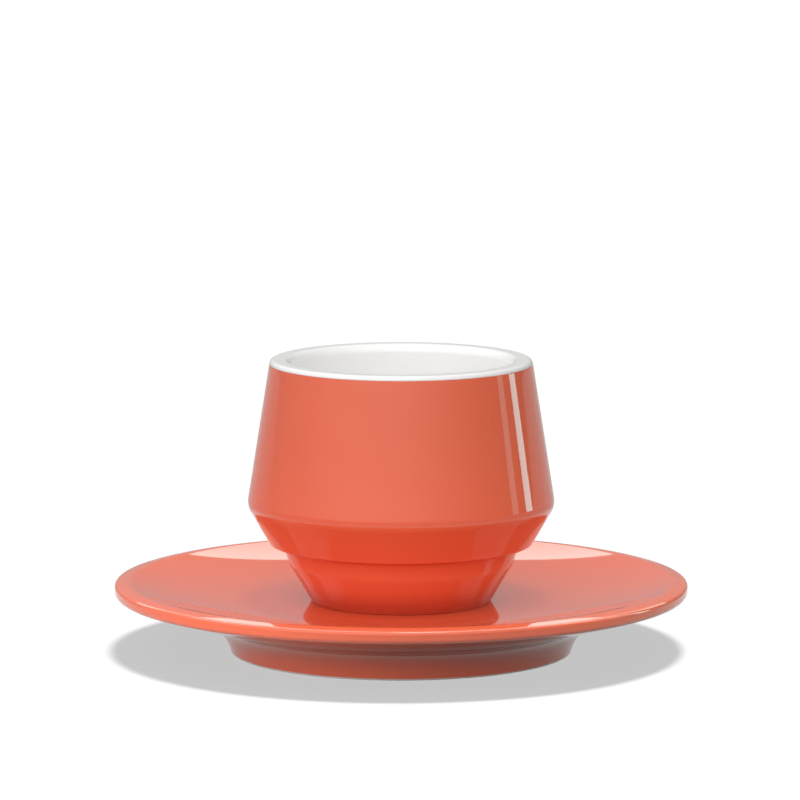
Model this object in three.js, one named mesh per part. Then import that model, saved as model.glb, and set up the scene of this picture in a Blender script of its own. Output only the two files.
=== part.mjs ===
// Espresso cup without a handle, standing on its saucer. Millimetres, +Z up.
// The origin is the centre of the saucer's foot ring, on the table.
// Every piece is a body of revolution: a section of radius and height, turned about Z.

import * as THREE from 'three';

// Saucer, heights from the table
const SAUCER_DIAMETER = 120;
const SEAT_HEIGHT = 10.5;            // flat that carries the cup
const SEAT_THICKNESS = 4.5;
const DISH_DIAMETER = 82.1;          // where the seat's plane and the slope to the rim would meet
const DISH_ROUNDING = 114;           // long hollow curve between those two
const RIM_HEIGHT = 14.94;            // crown of the rim, before it is rounded
const RIM_CROWN_WIDTH = 3;           // from the crown out to the rim's edge
const RIM_CROWN_DROP = 0.56;
const RIM_CROWN_ROUNDING = 3.6;
const RIM_THICKNESS = 2.25;
const RIM_ROUNDING = 0.9;
const RING_DIAMETER = 71.3;          // foot ring, where it stands on the table
const RING_WIDTH = 3.6;
const RING_HEIGHT = 5.6;
const RING_FLARE = 2;                // outward lean of the ring's outer wall
const RING_DRAFT = 1.5;              // inward lean of its inner wall
const RING_ROUNDING = 0.4;
const RING_BLEND = 9.1;              // hollow where the ring meets the underside
const RECESS_BLEND = 2;              // hollow where the ring meets the recess ceiling

// Cup outside, heights from its own foot and widths on one side
const CUP_FOOT_DIAMETER = 37.2;
const FOOT_CONE_HEIGHT = 8;
const FOOT_CONE_FLARE = 4.9;
const RIDGE_ROUNDING = 0.8;          // edge between the foot cone and the neck
const NECK_HEIGHT = 3.6;
const NECK_FLARE = 1.1;
const STEP_ROOT_BLEND = 0.6;
const STEP_WIDTH = 2.85;             // ledge above the neck
const STEP_RISE = 0.6;
const STEP_ROUNDING = 0.8;
const LOWER_CONE_HEIGHT = 8.2;
const LOWER_CONE_FLARE = 4.75;
const CREASE_ROUNDING = 4.1;         // widest edge, between the two cones
const UPPER_CONE_HEIGHT = 30.6;
const UPPER_CONE_TAPER = 4.85;

// Cup lip and inside
const LIP_WIDTH = 4.8;
const LIP_OUTER_ROUNDING = 1;
const LIP_INNER_ROUNDING = 1.6;
const CREASE_WALL = 4.2;
const INSIDE_CREASE_ROUNDING = 6;
const FLOOR_INSET = 3.6;             // how far the inside floor stays within the foot
const FLOOR_THICKNESS = 4;
const BOWL_ROUNDING = 10;
const CUP_RING_WIDTH = 3.2;          // standing face under the cup
const CUP_RING_ROUNDING = 0.3;
const CUP_RECESS_DEPTH = 1.8;
const CUP_RECESS_BLEND = 1;

// Coloured glaze on the outside of the cup
const GLAZE_THICKNESS = 0.4;
const GLAZE_BELOW_LIP = 0.95;        // white left at the lip, down from its top
const GLAZE_ABOVE_FOOT = 0.4;        // bare body left at the foot

// Fineness of the facets
const TURN_FACETS = 48;
const ARC_STEP = Math.PI / 9;

const CORAL_GLAZE = { color: 0xe05638, roughness: 0.14, metalness: 0 };
const WHITE_GLAZE = { color: 0xf3f2ee, roughness: 0.14, metalness: 0 };

// A corner of a section, with the radius that rounds it.
function corner(radius, height, rounding = 0) {
  return { at: new THREE.Vector2(radius, height), rounding };
}

function direction(from, to) {
  return to.at.clone().sub(from.at).normalize();
}

// Signed angle by which a section turns at a corner: left is positive.
function turnAt(before, here, after) {
  const into = direction(before, here);
  const out = direction(here, after);
  return Math.atan2(into.cross(out), into.dot(out));
}

// How far a corner's arc reaches along its edges for each unit of its radius.
function reachAt(corners, i) {
  if (i === 0 || i === corners.length - 1) return 0;
  return Math.tan(Math.abs(turnAt(corners[i - 1], corners[i], corners[i + 1])) / 2);
}

// Radii of a section's arcs. Where two arcs meet on a short edge, both shrink to share it.
function arcRadii(corners) {
  const reach = corners.map((c, i) => c.rounding * reachAt(corners, i));
  const share = corners.map(() => 1);
  for (let i = 0; i + 1 < corners.length; i += 1) {
    const edge = corners[i].at.distanceTo(corners[i + 1].at);
    const fit = edge / Math.max(edge, reach[i] + reach[i + 1]);
    share[i] = Math.min(share[i], fit);
    share[i + 1] = Math.min(share[i + 1], fit);
  }
  return corners.map((c, i) => c.rounding * share[i]);
}

// Points of the arc that rounds one corner.
function arcPoints(before, here, after, radius) {
  const turn = turnAt(before, here, after);
  const side = Math.sign(turn);
  const into = direction(before, here);
  const normal = new THREE.Vector2(-into.y, into.x).multiplyScalar(side);
  const start = here.at.clone().addScaledVector(into, -radius * Math.tan(Math.abs(turn) / 2));
  const centre = start.clone().addScaledVector(normal, radius);
  const from = start.sub(centre).angle();
  const arc = new THREE.ArcCurve(centre.x, centre.y, radius, from, from + turn, side < 0);
  return arc.getPoints(Math.max(2, Math.ceil(Math.abs(turn) / ARC_STEP)));
}

// The section through a row of corners, with its round stretches as arcs.
function roundedSection(corners) {
  const radii = arcRadii(corners);
  return corners.flatMap((here, i) => {
    if (radii[i] === 0) return [here.at.clone()];
    return arcPoints(corners[i - 1], here, corners[i + 1], radii[i]);
  });
}

// A row of corners moved to its left by one distance, with arcs that stay concentric.
function insetCorners(corners, distance) {
  const last = corners.length - 1;
  return corners.map((here, i) => {
    const into = direction(corners[Math.max(i - 1, 0)], corners[Math.max(i, 1)]);
    const out = direction(corners[Math.min(i, last - 1)], corners[Math.min(i + 1, last)]);
    const mitre = new THREE.Vector2(-into.y - out.y, into.x + out.x);
    const at = here.at.clone().addScaledVector(mitre, distance / (1 + into.dot(out)));
    const rounding = here.rounding - Math.sign(into.cross(out)) * distance;
    return { at, rounding: here.rounding === 0 ? 0 : Math.max(rounding, 0) };
  });
}

// The place on the edge between two corners that lies a given share of the way along.
function along(from, to, share) {
  const at = from.at.clone().lerp(to.at, share);
  return corner(at.x, at.y);
}

function revolve(name, section, finish) {
  const geometry = new THREE.LatheGeometry(section, TURN_FACETS);
  geometry.rotateX(Math.PI / 2);
  const mesh = new THREE.Mesh(geometry, new THREE.MeshStandardMaterial(finish));
  mesh.name = name;
  return mesh;
}

function saucerSection() {
  const radius = SAUCER_DIAMETER / 2;
  const ringOuter = RING_DIAMETER / 2;
  const ringInner = ringOuter - RING_WIDTH;
  const ceiling = SEAT_HEIGHT - SEAT_THICKNESS;
  const rimTop = RIM_HEIGHT - RIM_CROWN_DROP;
  return roundedSection([
    corner(0, ceiling),
    corner(ringInner - RING_DRAFT, ceiling, RECESS_BLEND),
    corner(ringInner, 0, RING_ROUNDING),
    corner(ringOuter, 0, RING_ROUNDING),
    corner(ringOuter + RING_FLARE, RING_HEIGHT, RING_BLEND),
    corner(radius, rimTop - RIM_THICKNESS, RIM_ROUNDING),
    corner(radius, rimTop, RIM_ROUNDING),
    corner(radius - RIM_CROWN_WIDTH, RIM_HEIGHT, RIM_CROWN_ROUNDING),
    corner(DISH_DIAMETER / 2, SEAT_HEIGHT, DISH_ROUNDING),
    corner(0, SEAT_HEIGHT),
  ]);
}

// The cup's outside, from its foot to its lip: foot cone, neck, step and two cones.
function cupOutside() {
  const foot = corner(CUP_FOOT_DIAMETER / 2, 0, CUP_RING_ROUNDING);
  const next = (from, outward, upward, rounding) =>
    corner(from.at.x + outward, from.at.y + upward, rounding);
  const ridge = next(foot, FOOT_CONE_FLARE, FOOT_CONE_HEIGHT, RIDGE_ROUNDING);
  const stepRoot = next(ridge, NECK_FLARE, NECK_HEIGHT, STEP_ROOT_BLEND);
  const stepEdge = next(stepRoot, STEP_WIDTH, STEP_RISE, STEP_ROUNDING);
  const crease = next(stepEdge, LOWER_CONE_FLARE, LOWER_CONE_HEIGHT, CREASE_ROUNDING);
  const lip = next(crease, -UPPER_CONE_TAPER, UPPER_CONE_HEIGHT, LIP_OUTER_ROUNDING);
  return { foot, ridge, stepRoot, stepEdge, crease, lip };
}

// Corners of the glazed part of the outside: it starts above the foot and ends below the lip.
function glazedCorners({ foot, ridge, stepRoot, stepEdge, crease, lip }) {
  const bottom = along(foot, ridge, GLAZE_ABOVE_FOOT / FOOT_CONE_HEIGHT);
  const top = along(lip, crease, GLAZE_BELOW_LIP / UPPER_CONE_HEIGHT);
  return [bottom, ridge, stepRoot, stepEdge, crease, top];
}

// White body: the glaze lies in a rebate, flush with the lip above it and the foot below it.
function cupBodySection(outside, glazed) {
  const { foot, crease, lip } = outside;
  const recess = foot.at.x - CUP_RING_WIDTH;
  const floor = CUP_RECESS_DEPTH + FLOOR_THICKNESS;
  const underside = roundedSection([
    corner(0, CUP_RECESS_DEPTH),
    corner(recess, CUP_RECESS_DEPTH, CUP_RECESS_BLEND),
    corner(recess, 0, CUP_RING_ROUNDING),
    foot,
    glazed[0],
  ]);
  const rebate = roundedSection(insetCorners(glazed, GLAZE_THICKNESS));
  const lipAndInside = roundedSection([
    glazed.at(-1),
    lip,
    corner(lip.at.x - LIP_WIDTH, lip.at.y, LIP_INNER_ROUNDING),
    corner(crease.at.x - CREASE_WALL, crease.at.y, INSIDE_CREASE_ROUNDING),
    corner(foot.at.x - FLOOR_INSET, floor, BOWL_ROUNDING),
    corner(0, floor),
  ]);
  return [...underside, ...rebate, ...lipAndInside];
}

// Coral coat that fills the rebate, as a closed ring.
function glazeSection(glazed) {
  const outer = roundedSection(glazed);
  const inner = roundedSection(insetCorners(glazed, GLAZE_THICKNESS)).reverse();
  return [...outer, ...inner, outer[0].clone()];
}

function cup() {
  const outside = cupOutside();
  const glazed = glazedCorners(outside);
  const group = new THREE.Group();
  group.add(revolve('cup_body', cupBodySection(outside, glazed), WHITE_GLAZE));
  group.add(revolve('cup_outer_glaze', glazeSection(glazed), CORAL_GLAZE));
  return group;
}

const cupAndSaucer = new THREE.Group();
const standingCup = cup();
standingCup.position.z = SEAT_HEIGHT;
cupAndSaucer.add(revolve('saucer', saucerSection(), CORAL_GLAZE), standingCup);

export default cupAndSaucer;
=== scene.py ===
# %% [markdown]
# # A glazed espresso cup on its saucer
#
# The real object is two pieces of fired porcelain: a cup without a handle, coral red outside and
# white inside, and a saucer that is coral all over. Both were turned about one axis, so this lesson
# draws half of each cross-section and turns it, as a potter's wheel does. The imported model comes
# first, because it fixes the place and the size of everything that follows.

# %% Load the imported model
from math import cos, pi, radians, sin, tau

import bpy
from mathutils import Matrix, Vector


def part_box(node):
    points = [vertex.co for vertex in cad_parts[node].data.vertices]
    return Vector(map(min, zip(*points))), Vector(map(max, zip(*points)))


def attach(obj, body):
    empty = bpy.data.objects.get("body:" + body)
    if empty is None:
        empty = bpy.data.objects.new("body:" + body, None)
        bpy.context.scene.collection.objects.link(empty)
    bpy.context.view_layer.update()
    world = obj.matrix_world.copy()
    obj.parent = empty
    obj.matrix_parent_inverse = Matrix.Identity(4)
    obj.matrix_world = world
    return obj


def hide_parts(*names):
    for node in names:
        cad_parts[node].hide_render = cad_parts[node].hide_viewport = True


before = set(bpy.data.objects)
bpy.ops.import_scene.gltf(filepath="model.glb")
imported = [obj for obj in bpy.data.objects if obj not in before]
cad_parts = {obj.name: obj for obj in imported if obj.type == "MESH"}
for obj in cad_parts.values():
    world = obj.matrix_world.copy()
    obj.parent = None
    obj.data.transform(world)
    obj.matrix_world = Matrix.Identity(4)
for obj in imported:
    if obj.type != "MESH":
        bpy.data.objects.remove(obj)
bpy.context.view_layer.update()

MM = 0.001

# %% [markdown]
# ## Writing node trees as arithmetic
#
# Geometry, materials and the studio's light are all node trees here. Placing nodes one by one is
# slow to read, so one small class wraps a socket. Arithmetic on two wrapped sockets adds the Math
# nodes, and its `node` method adds any other node with its settings and inputs.


# %% A socket that takes part in expressions
class Wire:
    """An output socket of a node tree, for use in Python expressions."""

    def __init__(self, tree, socket=None):
        self.tree = tree
        self.socket = socket

    def node(self, kind, settings=None, inputs=None, output=0):
        """Add a node, set it up, feed its inputs and return one of its outputs."""
        made = self.tree.nodes.new(kind)
        for name, value in (settings or {}).items():
            if name == "stops":
                self.set_stops(made.color_ramp, value)
            else:
                setattr(made, name, value)
        for name, value in (inputs or {}).items():
            if isinstance(value, Wire):
                self.tree.links.new(value.socket, made.inputs[name])
            else:
                made.inputs[name].default_value = value
        return Wire(self.tree, made.outputs[output]) if len(made.outputs) else made

    @staticmethod
    def set_stops(ramp, stops):
        while len(ramp.elements) < len(stops):
            ramp.elements.new(1.0)
        for element, (position, colour) in zip(ramp.elements, stops):
            element.position = position
            element.color = colour

    def math(self, operation, *values, clamp=False):
        settings = {"operation": operation, "use_clamp": clamp}
        return self.node("ShaderNodeMath", settings, dict(enumerate(values)))

    def __add__(self, other):
        return self.math("ADD", self, other)

    def __sub__(self, other):
        return self.math("SUBTRACT", self, other)

    def __rsub__(self, other):
        return self.math("SUBTRACT", other, self)

    def __mul__(self, other):
        return self.math("MULTIPLY", self, other)

    def __truediv__(self, other):
        return self.math("DIVIDE", self, other)

    __radd__ = __add__
    __rmul__ = __mul__

    def ramp(self, low, high):
        """0 below low, 1 above high, and smooth between them."""
        settings = {"interpolation_type": "SMOOTHSTEP"}
        inputs = {"Value": self, "From Min": low, "From Max": high}
        return self.node("ShaderNodeMapRange", settings, inputs)

    def band(self, centre, half_width):
        """1 at centre, falling smoothly to 0 at half_width on both sides."""
        return 1 - self.math("ABSOLUTE", self - centre).ramp(0.0, half_width)

    def mix(self, first, second):
        """Mix two colours by this value."""
        settings = {"data_type": "RGBA"}
        inputs = {0: self, 6: first, 7: second}
        return self.node("ShaderNodeMix", settings, inputs, output=2)


# %% [markdown]
# ## Turning a section
#
# A section is a row of corners, each with the radius that rounds it. The tree below turns the row
# into a curve, fillets every corner by its own radius, cuts the straight runs into short steps so
# that smooth shading stays true to the flat, and wraps the result round Z on a grid. Fillets made
# here, and not drawn point by point, keep each edge of the ware as one number that can be changed.

# %% The tree that turns any section
FACETS = 256
ARC_STEPS = 20
LONGEST_STEP = 2.0 * MM
WELD = 0.0001 * MM


def turning_tree():
    tree = bpy.data.node_groups.new("turn_section", "GeometryNodeTree")
    sockets = tree.interface
    sockets.new_socket("Section", in_out="INPUT", socket_type="NodeSocketGeometry")
    for name, kind in (("Facets", "Int"), ("Arc steps", "Int"), ("Longest step", "Float"),
                       ("Finish", "Material")):
        sockets.new_socket(name, in_out="INPUT", socket_type="NodeSocket" + kind)
    sockets.new_socket("Turned", in_out="OUTPUT", socket_type="NodeSocketGeometry")
    given = tree.nodes.new("NodeGroupInput").outputs
    section, facets, arc_steps, longest, finish = (Wire(tree, given[i]) for i in range(5))
    add = section.node

    rounding = add("GeometryNodeInputNamedAttribute", {"data_type": "FLOAT"}, {"Name": "rounding"})
    drawn = add("GeometryNodeMeshToCurve", inputs={"Mesh": section})
    steps = arc_steps + rounding / (longest * 4.0)
    filleted = add("GeometryNodeFilletCurve", {"mode": "POLY"}, {
        "Curve": drawn, "Count": steps, "Radius": rounding, "Limit Radius": True})

    here = add("GeometryNodeInputPosition")
    following = add("GeometryNodeOffsetPointInCurve", inputs={"Offset": 1}, output="Point Index")
    there = add("GeometryNodeFieldAtIndex", {"data_type": "FLOAT_VECTOR"},
                {"Index": following, "Value": here})
    run = add("ShaderNodeVectorMath", {"operation": "DISTANCE"}, {0: here, 1: there}, "Value")
    fine = add("GeometryNodeSubdivideCurve", inputs={"Curve": filleted, "Cuts": run / longest})

    points = add("GeometryNodeAttributeDomainSize", {"component": "CURVE"}, {"Geometry": fine})
    sheet = add("GeometryNodeMeshGrid", inputs={"Vertices X": facets + 1, "Vertices Y": points})
    index = add("GeometryNodeInputIndex")
    column = index.math("FLOOR", index / points)
    row = index - column * points
    on_section = add("GeometryNodeSampleIndex", {"data_type": "FLOAT_VECTOR"},
                     {"Geometry": fine, "Value": here, "Index": row})
    turned = add("ShaderNodeVectorRotate", {"rotation_type": "Z_AXIS"},
                 {"Vector": on_section, "Angle": column * tau / facets})
    wrapped = add("GeometryNodeSetPosition", inputs={"Geometry": sheet, "Position": turned})
    closed = add("GeometryNodeMergeByDistance", inputs={"Geometry": wrapped, "Distance": WELD})
    smooth = add("GeometryNodeSetShadeSmooth", inputs={"Geometry": closed})
    whole = add("GeometryNodeRealizeInstances", inputs={"Geometry": smooth})
    dressed = add("GeometryNodeSetMaterial", inputs={"Geometry": whole, "Material": finish})
    result = tree.nodes.new("NodeGroupOutput")
    tree.links.new(dressed.socket, result.inputs["Turned"])
    return tree


TURNING = turning_tree()
print("turning tree:", len(TURNING.nodes), "nodes")

# %% [markdown]
# ## From a row of corners to a piece
#
# The tree is a modifier on a drawing that has only points and edges. Its inputs are set by socket
# identifier, the evaluated mesh is copied out, and the drawing with its modifier is thrown away, so
# that what stays in the file is a plain mesh which any exporter can read.


# %% A row of corners becomes a mesh
def corner(radius, height, rounding=0.0):
    """A corner of a section in millimetres, and the radius that rounds it."""
    return Vector((radius, 0.0, height)), rounding


def turn(name, corners, finish):
    """Turn a row of corners about Z and return the piece as a plain mesh object."""
    section = bpy.data.meshes.new(name + "_section")
    places = [at * MM for at, _ in corners]
    section.from_pydata(places, [(i, i + 1) for i in range(len(corners) - 1)], [])
    radii = section.attributes.new("rounding", "FLOAT", "POINT")
    radii.data.foreach_set("value", [rounding * MM for _, rounding in corners])
    drawing = bpy.data.objects.new(name + "_drawing", section)
    bpy.context.collection.objects.link(drawing)
    modifier = drawing.modifiers.new("turn", "NODES")
    modifier.node_group = TURNING
    sizes = {"Facets": FACETS, "Arc steps": ARC_STEPS, "Longest step": LONGEST_STEP, "Finish": finish}
    for item in TURNING.interface.items_tree:
        if item.name in sizes:
            modifier[item.identifier] = sizes[item.name]
    seen = drawing.evaluated_get(bpy.context.evaluated_depsgraph_get())
    mesh = bpy.data.meshes.new_from_object(seen)
    mesh.name = name
    bpy.data.objects.remove(drawing)
    piece = bpy.data.objects.new(name, mesh)
    bpy.context.collection.objects.link(piece)
    print(name, "has", len(mesh.polygons), "faces")
    return piece


# %% [markdown]
# ## The cup's outside
#
# From the table up, the cup is a foot cone, a short neck, a ledge, a lower cone that opens to the
# widest edge and a long upper cone that closes to the lip. Each corner is the last one plus a width
# and a height, so that a change to one stretch carries everything above it along.

# %% Corners of the outside, in millimetres
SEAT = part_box("cup_body")[0][2] / MM
LIP_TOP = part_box("cup_body")[1][2] / MM - 0.001
FOOT_RADIUS = 18.6


def beyond(last, outward, upward, rounding):
    """The next corner of a section, by its distance from the last one."""
    return corner(last[0].x + outward, last[0].z + upward, rounding)


foot = corner(FOOT_RADIUS, SEAT)
ridge = beyond(foot, outward=4.9, upward=8.0, rounding=4.0)
step_root = beyond(ridge, outward=1.1, upward=3.6, rounding=0.6)
step_edge = beyond(step_root, outward=2.85, upward=0.6, rounding=0.8)
crease = beyond(step_edge, outward=4.75, upward=8.2, rounding=4.1)
lip = beyond(crease, outward=-4.85, upward=LIP_TOP - crease[0].z, rounding=1.0)
print("the cup is", round(LIP_TOP - SEAT, 2), "mm high and its crease is at", round(crease[0].z, 2))

# %% [markdown]
# ## The coral coat
#
# The coral is a coat of glaze with a real thickness. It ends in a fine bead just under the lip, and
# another one at the foot, and those beads are what makes the colour line look crisp. The coat is
# turned as a closed ring: up along the outside, over the bead, and down again inside the wall.

# %% The coat's section
GLAZE = 0.4
BEAD = 0.1
COAT_BELOW_LIP = 0.93
COAT_ABOVE_FOOT = 0.01


def between(first, second, height):
    """The place on a straight run at a given height."""
    share = (height - first[0].z) / (second[0].z - first[0].z)
    return first[0].lerp(second[0], share)


def inset(corners, distance):
    """Move a row of corners to its left by one distance, with concentric rounding."""
    moved = []
    for i, (at, rounding) in enumerate(corners):
        before = corners[max(i - 1, 0)][0]
        after = corners[min(i + 1, len(corners) - 1)][0]
        into = (at - before).normalized() if i else (after - at).normalized()
        out = (after - at).normalized() if i < len(corners) - 1 else into
        left = Vector((-into.z - out.z, 0.0, into.x + out.x))
        turning = into.x * out.z - into.z * out.x
        kept = rounding - distance if turning > 0 else rounding + distance
        moved.append((at + left * (distance / (1 + into.dot(out))), max(kept, 0.0)))
    moved[0] = (moved[0][0], 0.0)
    moved[-1] = (moved[-1][0], 0.0)
    return moved


coat_foot = (between(foot, ridge, SEAT + COAT_ABOVE_FOOT), BEAD)
coat_top = (between(crease, lip, LIP_TOP - COAT_BELOW_LIP), BEAD)
coat_face = [coat_foot, ridge, step_root, step_edge, crease, coat_top]
coat_back = inset(coat_face, GLAZE)
seam = (coat_back[-1][0].lerp(coat_back[-2][0], 0.5), 0.0)
coat_section = [seam, *coat_back[-2::-1], *coat_face, coat_back[-1], seam]
print("the coat runs from", round(coat_foot[0].z, 2), "to", round(coat_top[0].z, 2), "mm")

# %% [markdown]
# ## The white body
#
# Under the coat is the cast body, which shows at the lip and inside. Its wall follows the outside
# with the same two cones, and it closes in a round bowl. Below, a standing ring leaves a shallow
# recess. The body has a rebate in which the coat lies, so that both are flush at the colour line.

# %% The body's section
LIP_WIDTH = 4.8
CREASE_WALL = 4.2
RECESS = 1.8
FLOOR = RECESS + 4.0
FLOOR_RADIUS = FOOT_RADIUS - 3.6
CUP_RING_INNER = FOOT_RADIUS - 3.2

body_section = [
    corner(0.0, SEAT + RECESS),
    corner(CUP_RING_INNER, SEAT + RECESS, 1.0),
    corner(CUP_RING_INNER, SEAT, 0.3),
    corner(FOOT_RADIUS - GLAZE - 0.1, SEAT, 0.1),
    *coat_back,
    coat_top,
    lip,
    corner(lip[0].x - LIP_WIDTH, LIP_TOP, 1.6),
    corner(crease[0].x - CREASE_WALL, crease[0].z, 6.0),
    corner(FLOOR_RADIUS, SEAT + FLOOR, 10.0),
    corner(0.0, SEAT + FLOOR),
]
print("the body has", len(body_section), "corners")

# %% [markdown]
# ## The saucer
#
# The saucer is one pressed piece. Its flat seat runs into a long hollow curve that rises to a soft
# crown at the rim, and underneath a foot ring sweeps out into the flange. The hollow is one arc with
# a very large radius, and it is what bends the reflections on the saucer into smooth bows.

# %% The saucer's section
SAUCER_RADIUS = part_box("saucer")[1][0] / MM - 0.001
RING_OUTER = 35.65
RING_INNER = RING_OUTER - 3.6
CEILING = SEAT - 4.5

dish = corner(41.05, SEAT, 114.0)
crown = corner(SAUCER_RADIUS - 3.0, 14.94, 3.6)
rim_top = beyond(crown, outward=3.0, upward=-0.56, rounding=0.75)
rim_bottom = beyond(rim_top, outward=0.0, upward=-2.25, rounding=1.05)
saucer_section = [
    corner(0.0, CEILING),
    corner(RING_INNER - 1.5, CEILING, 2.0),
    corner(RING_INNER, 0.0, 0.4),
    corner(RING_OUTER, 0.0, 0.4),
    corner(RING_OUTER + 2.0, 5.6, 9.1),
    rim_bottom,
    rim_top,
    crown,
    dish,
    corner(0.0, SEAT),
]
print("the saucer's radius is", round(SAUCER_RADIUS, 2), "mm")

# %% [markdown]
# ## Glazes
#
# Both glazes are glass over clay: an even colour under a clear, glossy skin. The coral is lighter over
# outer edges, where the glaze runs thin over the pale clay and where a painted highlight is added. It
# is darker in the corner under the cup's ledge, as painted shade, and darker and less glossy towards
# the foot, as painted shade where the cup meets the saucer. A faint cloudiness and very shallow waves
# keep it from looking like plastic. The white is kept below a full white, so that the lip has room for
# its highlights.

# %% A glaze
CORAL = (0.80, 0.13, 0.056, 1.0)
# lighter coral for edges: thin glaze, and in part a painted highlight
CORAL_THIN_AND_HIGHLIT = (0.84, 0.18, 0.09, 1.0)
# darker coral, for random cloudiness and for painted shade under the cup's ledge
CORAL_CLOUD_AND_SHADE = (0.75, 0.105, 0.042, 1.0)
# much darker coral: painted shade towards the cup's foot, where it meets the saucer
CORAL_FOOT_SHADE = (0.56, 0.075, 0.035, 1.0)
WHITE = (0.85, 0.845, 0.835, 1.0)
BARE_CLAY = (0.72, 0.68, 0.62, 1.0)
GLOSS = 0.025
GLOSS_DRIFT = 0.02
WAVE_SIZE = 16 * MM
WAVE_HEIGHT = 0.2 * MM


def new_material(name):
    """A material with its default shader, and a wire to start expressions from."""
    material = bpy.data.materials.new(name)
    material.use_nodes = True
    shader = material.node_tree.nodes["Principled BSDF"]
    return material, shader, Wire(material.node_tree)


def object_place(wire):
    """Object coordinates, the distance from the axis and the height."""
    place = wire.node("ShaderNodeTexCoord", output="Object")
    x, y, z = (wire.node("ShaderNodeSeparateXYZ", inputs={0: place}, output=i) for i in range(3))
    radius = wire.math("SQRT", x * x + y * y)
    return place, radius, z


def noise(wire, place, size, detail=2.0):
    """Noise with features of about the given size in metres."""
    inputs = {"Vector": place, "Scale": 1.0 / size, "Detail": detail}
    return wire.node("ShaderNodeTexNoise", inputs=inputs)


def glaze(name, colour_of, wave_strength):
    """A glossy glaze whose colour and roughness come from a function of the place."""
    material, shader, wire = new_material(name)
    place, radius, height = object_place(wire)
    colour, roughness = colour_of(wire, place, radius, height)
    waves = noise(wire, place, WAVE_SIZE, detail=0.0)
    bump = wire.node("ShaderNodeBump", inputs={
        "Strength": wave_strength, "Distance": WAVE_HEIGHT, "Height": waves})
    links = material.node_tree.links
    links.new(colour.socket, shader.inputs["Base Color"])
    links.new(roughness.socket, shader.inputs["Roughness"])
    links.new(bump.socket, shader.inputs["Normal"])
    shader.inputs["IOR"].default_value = 1.5
    return material


def cup_coral(wire, place, radius, height):
    # Lighter along the ridge, the step's edge and the crease: thin glaze, and in part a painted
    # highlight.
    edges = [height.band(edge[0].z * MM, 1.2 * MM) for edge in (ridge, step_edge, crease)]
    thin_and_highlit = wire.math("MAXIMUM", wire.math("MAXIMUM", edges[0], edges[1]), edges[2])
    # Darker in the corner under the ledge: painted shade.
    ledge_shade = height.band(step_root[0].z * MM, 0.8 * MM)
    # Darker and rougher towards the foot: painted shade where the cup meets the saucer.
    foot_shade = 1 - height.ramp((SEAT + 0.5) * MM, (SEAT + 7.0) * MM)
    cloud = noise(wire, place, 12 * MM)
    colour = (thin_and_highlit * 0.25).mix(CORAL, CORAL_THIN_AND_HIGHLIT)
    colour = (ledge_shade * 0.5).mix(colour, CORAL_CLOUD_AND_SHADE)
    colour = (cloud * 0.25).mix(colour, CORAL_CLOUD_AND_SHADE)
    colour = foot_shade.mix(colour, CORAL_FOOT_SHADE)
    return colour, GLOSS + cloud * GLOSS_DRIFT + foot_shade * 0.3


def saucer_coral(wire, place, radius, height):
    # Lighter at the rim: thin glaze, and in part a painted highlight.
    rim = radius.ramp(57.5 * MM, 60 * MM)
    cloud = noise(wire, place, 14 * MM)
    colour = (rim * 0.3).mix(CORAL, CORAL_THIN_AND_HIGHLIT)
    colour = (cloud * 0.25).mix(colour, CORAL_CLOUD_AND_SHADE)
    bare = 1 - height.ramp(0.25 * MM, 0.45 * MM)
    colour = bare.mix(colour, BARE_CLAY)
    return colour, GLOSS + cloud * GLOSS_DRIFT + bare * 0.5


def cup_white(wire, place, radius, height):
    cloud = noise(wire, place, 10 * MM)
    bare = 1 - height.ramp((SEAT + 0.3) * MM, (SEAT + 0.5) * MM)
    colour = (cloud * 0.08).mix(WHITE, BARE_CLAY)
    colour = bare.mix(colour, BARE_CLAY)
    return colour, GLOSS + cloud * GLOSS_DRIFT + bare * 0.5


# %% [markdown]
# ## Turning the three pieces
#
# Sections and glazes are ready, so each piece is one call. The coat and the white body ride on the
# cup, which can be lifted off, and the saucer stays where it is. The saucer gets weaker waves than
# the cup, because a surface that is seen at so flat an angle shows every wave.

# %% Turn the pieces
CUP_WAVES = 0.008
SAUCER_WAVES = 0.0008

coat = turn("cup_coral_coat", coat_section, glaze("coral_glaze_cup", cup_coral, CUP_WAVES))
body = turn("cup_white_body", body_section, glaze("white_glaze_cup", cup_white, CUP_WAVES))
saucer = turn("saucer_ware", saucer_section, glaze("coral_glaze_saucer", saucer_coral, SAUCER_WAVES))
for piece, node, slot, rides_on in ((coat, "cup_outer_glaze", "coral_glaze", "cup"),
                                    (body, "cup_body", "white_glaze", "cup"),
                                    (saucer, "saucer", "coral_glaze", "saucer")):
    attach(piece, rides_on)
    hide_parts(node)

# %% [markdown]
# ## The floor
#
# The photograph's floor is pure white, and the object leaves one even grey shadow on it, with a
# narrow soft edge. A glowing floor stays white without any light on the object, and a sun that lights
# only the floor draws the shadow. The floor glows for the camera and less for what the glaze mirrors,
# and most near the saucer, whose underside mirrors it. Seen from below, the floor is clear.

# %% Floor
FLOOR_HALF = 60.0
FLOOR_DROP = 0.01 * MM
FLOOR_GLOW = 0.54
FLOOR_GLOW_MIRRORED = 0.12
FLOOR_GLOW_NEARBY = 0.42
NEARBY = 90 * MM
FLOOR_GREY = 0.05
FLOOR_GREY_BOUNCED = 0.01
FLOOR_SUN = 28.0


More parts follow.
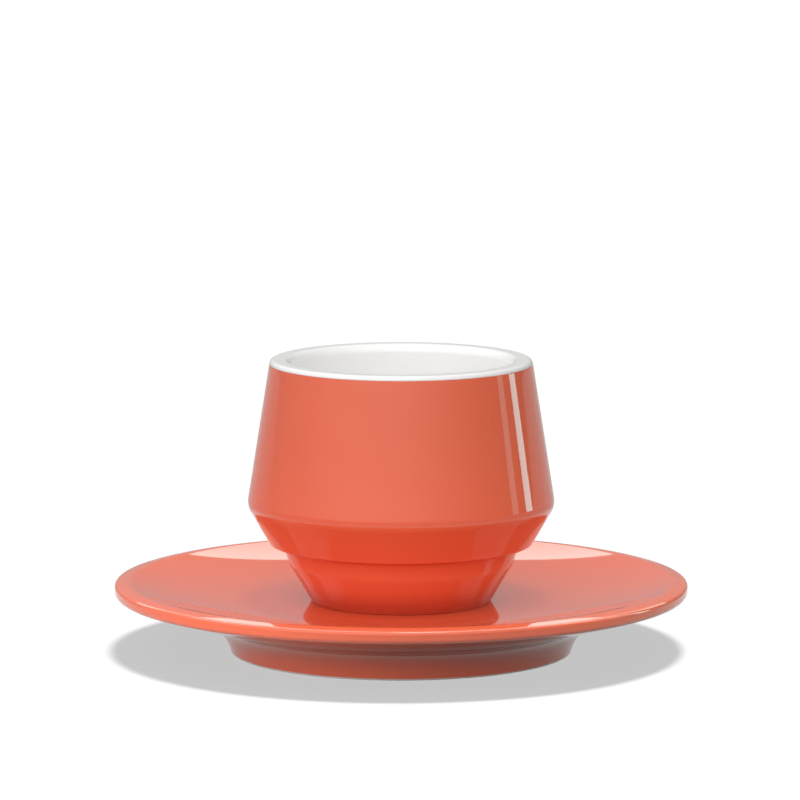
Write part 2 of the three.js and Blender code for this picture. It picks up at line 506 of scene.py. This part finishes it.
def floor_material():
    material = bpy.data.materials.new("studio_floor")
    material.use_nodes = True
    tree = material.node_tree
    tree.nodes.clear()
    path = tree.nodes.new("ShaderNodeLightPath").outputs
    camera_ray, glossy_ray, transmission_ray = (
        Wire(tree, path[name]) for name in ("Is Camera Ray", "Is Glossy Ray", "Is Transmission Ray"))
    mirrored = camera_ray.math("MAXIMUM", glossy_ray, transmission_ray)
    place = camera_ray.node("ShaderNodeNewGeometry", output="Position")
    distance = camera_ray.node("ShaderNodeVectorMath", {"operation": "LENGTH"}, {0: place}, "Value")
    nearby = 1 - distance.ramp(NEARBY, 2 * NEARBY)
    strength = camera_ray * FLOOR_GLOW + mirrored * (FLOOR_GLOW_MIRRORED + nearby * FLOOR_GLOW_NEARBY)
    glow = camera_ray.node("ShaderNodeEmission", inputs={"Strength": strength})
    seen = camera_ray.math("MAXIMUM", camera_ray, mirrored)
    shade = FLOOR_GREY_BOUNCED + seen * (FLOOR_GREY - FLOOR_GREY_BOUNCED)
    grey = camera_ray.node("ShaderNodeBsdfDiffuse", inputs={"Color": shade})
    above = camera_ray.node("ShaderNodeAddShader", inputs={0: grey, 1: glow})
    clear = camera_ray.node("ShaderNodeBsdfTransparent")
    from_below = camera_ray.node("ShaderNodeNewGeometry", output="Backfacing")
    shown = camera_ray.node("ShaderNodeMixShader", inputs={0: from_below, 1: above, 2: clear})
    result = tree.nodes.new("ShaderNodeOutputMaterial")
    tree.links.new(shown.socket, result.inputs["Surface"])
    return material


corners = [(x, y, -FLOOR_DROP) for x, y in ((-FLOOR_HALF, -FLOOR_HALF), (FLOOR_HALF, -FLOOR_HALF),
                                            (FLOOR_HALF, FLOOR_HALF), (-FLOOR_HALF, FLOOR_HALF))]
floor_mesh = bpy.data.meshes.new("studio_floor")
floor_mesh.from_pydata(corners, [], [(0, 1, 2, 3)])
floor_mesh.materials.append(floor_material())
floor = bpy.data.objects.new("studio_floor", floor_mesh)
bpy.context.collection.objects.link(floor)
print("floor of", 2 * FLOOR_HALF, "m")

# %% [markdown]
# ## Soft light all round
#
# The world is a dark studio with a few large soft cards in it. Each card is a lobe: brightest at its
# centre, falling off smoothly, tighter for a larger sharpness. Lobes have no edges, so the long cone
# of the cup shows a slow change of tone and no picture of a lamp. The key cards stand on the left.


# %% Cards in the world
def studio_place(azimuth, elevation, distance=1.0):
    """A place round the object: azimuth from the camera's side, positive to its right."""
    az, el = radians(azimuth), radians(elevation)
    return (distance * cos(el) * sin(az), -distance * cos(el) * cos(az), distance * sin(el))


def card(way, azimuth, elevation, sharpness, strength):
    """Light from one side of the studio, brightest at its centre."""
    centre = studio_place(azimuth, elevation)
    inputs = {0: way, 1: centre}
    lined_up = way.node("ShaderNodeVectorMath", {"operation": "DOT_PRODUCT"}, inputs, "Value")
    return way.math("EXPONENT", (lined_up - 1) * sharpness) * strength


def studio_world():
    world = bpy.data.worlds.new("studio")
    bpy.context.scene.world = world
    world.use_nodes = True
    tree = world.node_tree
    tree.nodes.clear()
    way = Wire(tree).node("ShaderNodeTexCoord", output="Generated")
    key = card(way, -45, 21, 6.0, 1.60) + card(way, 0, 21, 6.7, 1.36) + card(way, -95, 18, 8.3, 0.79)
    right = card(way, 45, 25, 7.0, 0.63) + card(way, 88, -10, 6.9, 0.25) + card(way, 35, -3, 10.0, 0.21)
    top = card(way, 0, 60, 6.0, 1.08) + card(way, 192, 59, 4.9, 0.82)
    low = card(way, -140, 30, 6.0, 0.34) + card(way, 180, 8, 9.0, 0.21) + card(way, -65, 2, 20.0, 0.21)
    even = 0.19
    background = way.node("ShaderNodeBackground", inputs={"Strength": key + right + top + low + even})
    result = tree.nodes.new("ShaderNodeOutputWorld")
    tree.links.new(background.socket, result.inputs["Surface"])
    return tree


print("world:", len(studio_world().nodes), "nodes")

# %% [markdown]
# ## Lamps
#
# What has an edge, such as a strip mirrored on the cup, needs a lamp. A softbox is given by how bright
# it looks, and its power follows from its size. A lamp can be kept to some pieces, and it can be left
# out of reflections or of matt light, as a photographer does with flags and black card.


# %% Kinds of lamps
def lamp(name, kind, settings, place, aim=(0.0, 0.0, 0.03)):
    """A lamp at a place, turned to what it lights and hidden from the camera."""
    light = bpy.data.lights.new(name, kind)
    for key, value in settings.items():
        setattr(light, key, value)
    holder = bpy.data.objects.new(name, light)
    bpy.context.collection.objects.link(holder)
    holder.location = place
    holder.rotation_euler = (Vector(aim) - Vector(place)).to_track_quat("-Z", "Y").to_euler()
    holder.visible_camera = False
    return holder


def overhead_sun(name, strength):
    """A sun nearly overhead, as wide as a softbox, for shadows with a narrow soft edge."""
    settings = {"energy": strength, "angle": radians(12.5)}
    return lamp(name, "SUN", settings, place=(0.16, 0.0, 2.0), aim=(0.0, 0.0, 0.0))


def softbox(name, azimuth, elevation, distance, width, height, radiance, tint=(1.0, 1.0, 1.0)):
    """A rectangle that looks equally bright all over, whatever its size."""
    settings = {"shape": "RECTANGLE", "size": width, "size_y": height, "color": tint,
                "energy": radiance * width * height * pi}
    return lamp(name, "AREA", settings, studio_place(azimuth, elevation, distance))


def only_mirrored(*lamps):
    for holder in lamps:
        holder.visible_diffuse = False


def never_mirrored(*lamps):
    for holder in lamps:
        holder.visible_glossy = False


def shine_only_on(name, pieces, lamps):
    """Keep the light of some lamps to some pieces."""
    lit = bpy.data.collections.new(name)
    for piece in pieces:
        lit.objects.link(piece)
    for holder in lamps:
        holder.light_linking.receiver_collection = lit
    print(name, "is lit by", [holder.name for holder in lamps])


# %% [markdown]
# ## Light from above
#
# Two suns share one place nearly overhead. The strong one lights only the floor and draws the even
# shadow there, and the weak one lights the ware and draws the cup's faint shadow on the saucer.

# %% Suns
floor_sun = overhead_sun("floor_sun", FLOOR_SUN)
shine_only_on("floor_alone", [floor], [floor_sun])
overhead_sun("overhead", 0.45)

# %% [markdown]
# ## Light on the saucer
#
# The pale field at the back of the saucer is a wide softbox, mirrored at a flat angle. A second box
# gives the same part its matt light, a high one draws the line along the front lip, and a small strip
# beside the foot ring stands in for the light that a white table throws under the flange.

# %% Lamps of the saucer
COOL_WHITE = (0.5, 1.0, 0.95)
back_shine = softbox("back_shine", azimuth=180, elevation=33.5, distance=1.6, width=2.8, height=0.365,
                     radiance=2.3, tint=COOL_WHITE)
back_fill = softbox("back_fill", azimuth=180, elevation=36.5, distance=1.6, width=3.0, height=0.75,
                    radiance=0.95)
ring_fill = softbox("ring_fill", azimuth=-45, elevation=2, distance=0.085, width=0.09, height=0.004,
                    radiance=6.5)
top_shine = softbox("top_shine", azimuth=180, elevation=70, distance=1.5, width=3.0, height=0.7,
                    radiance=4.2)
only_mirrored(back_shine, top_shine)
never_mirrored(back_fill, ring_fill)
shine_only_on("saucer_alone", [saucer], [back_shine, back_fill, ring_fill, top_shine])

# %% [markdown]
# ## Light on the cup
#
# A low, wide fill in front lifts the undercut cones, which see little of the sky. Two tall strips on
# the right, one bright and one dim, draw the pair of straight streaks that show how flat the long cone
# is. They are cool, so that the streaks read as pale grey on red and not as pink. Deep in the bowl a
# tiny lamp lifts the white inside, which its walls shade from most of the cards.

# %% Lamps of the cup
BRIGHT_COOL = (0.4, 1.0, 1.0)
DIM_COOL = (0.3, 1.0, 1.0)
low_fill = softbox("low_fill", azimuth=-35, elevation=3, distance=0.7, width=0.8, height=0.05,
                   radiance=2.5)
bright_strip = softbox("bright_strip", azimuth=111, elevation=18, distance=1.5, width=0.22, height=1.2,
                       radiance=5.1, tint=BRIGHT_COOL)
dim_strip = softbox("dim_strip", azimuth=94.5, elevation=18, distance=1.5, width=0.17, height=1.2,
                    radiance=1.35, tint=DIM_COOL)
bowl_fill = lamp("bowl_fill", "POINT", {"energy": 0.0032, "shadow_soft_size": 0.005}, (0.0, 0.0, 0.045))
never_mirrored(low_fill, bowl_fill)
shine_only_on("white_body", [body], [bowl_fill])
shine_only_on("coral_pieces", [coat, saucer], [bright_strip, dim_strip])

# %% [markdown]
# ## The camera
#
# The view is a long lens a little above the table. Its distance, height and tilt were worked out from
# the ovals of the lip, the rim and the foot ring, because a circle seen from the side is flatter the
# lower the eye is. The lens is given in pixels, the unit in which such a fit is made.

# %% Camera
CAMERA_BACK = 1256.95 * MM
CAMERA_HEIGHT = 231.75 * MM
CAMERA_ASIDE = -0.24 * MM
CAMERA_PITCH = 8.102
FOCAL = 6084.5
FRAME_PIXELS = 800
camera = bpy.data.cameras.new("photo_camera")
camera.sensor_width = 36.0
camera.lens = FOCAL * camera.sensor_width / FRAME_PIXELS
camera.clip_start = 0.01
camera.clip_end = 100.0
viewpoint = bpy.data.objects.new("photo_camera", camera)
bpy.context.collection.objects.link(viewpoint)
viewpoint.location = (CAMERA_ASIDE, -CAMERA_BACK, CAMERA_HEIGHT)
viewpoint.rotation_euler = (pi / 2 - radians(CAMERA_PITCH), 0.0, 0.0)
bpy.context.scene.camera = viewpoint
bpy.context.scene.view_settings.view_transform = "Standard"

print("lens of", round(camera.lens, 1), "mm")
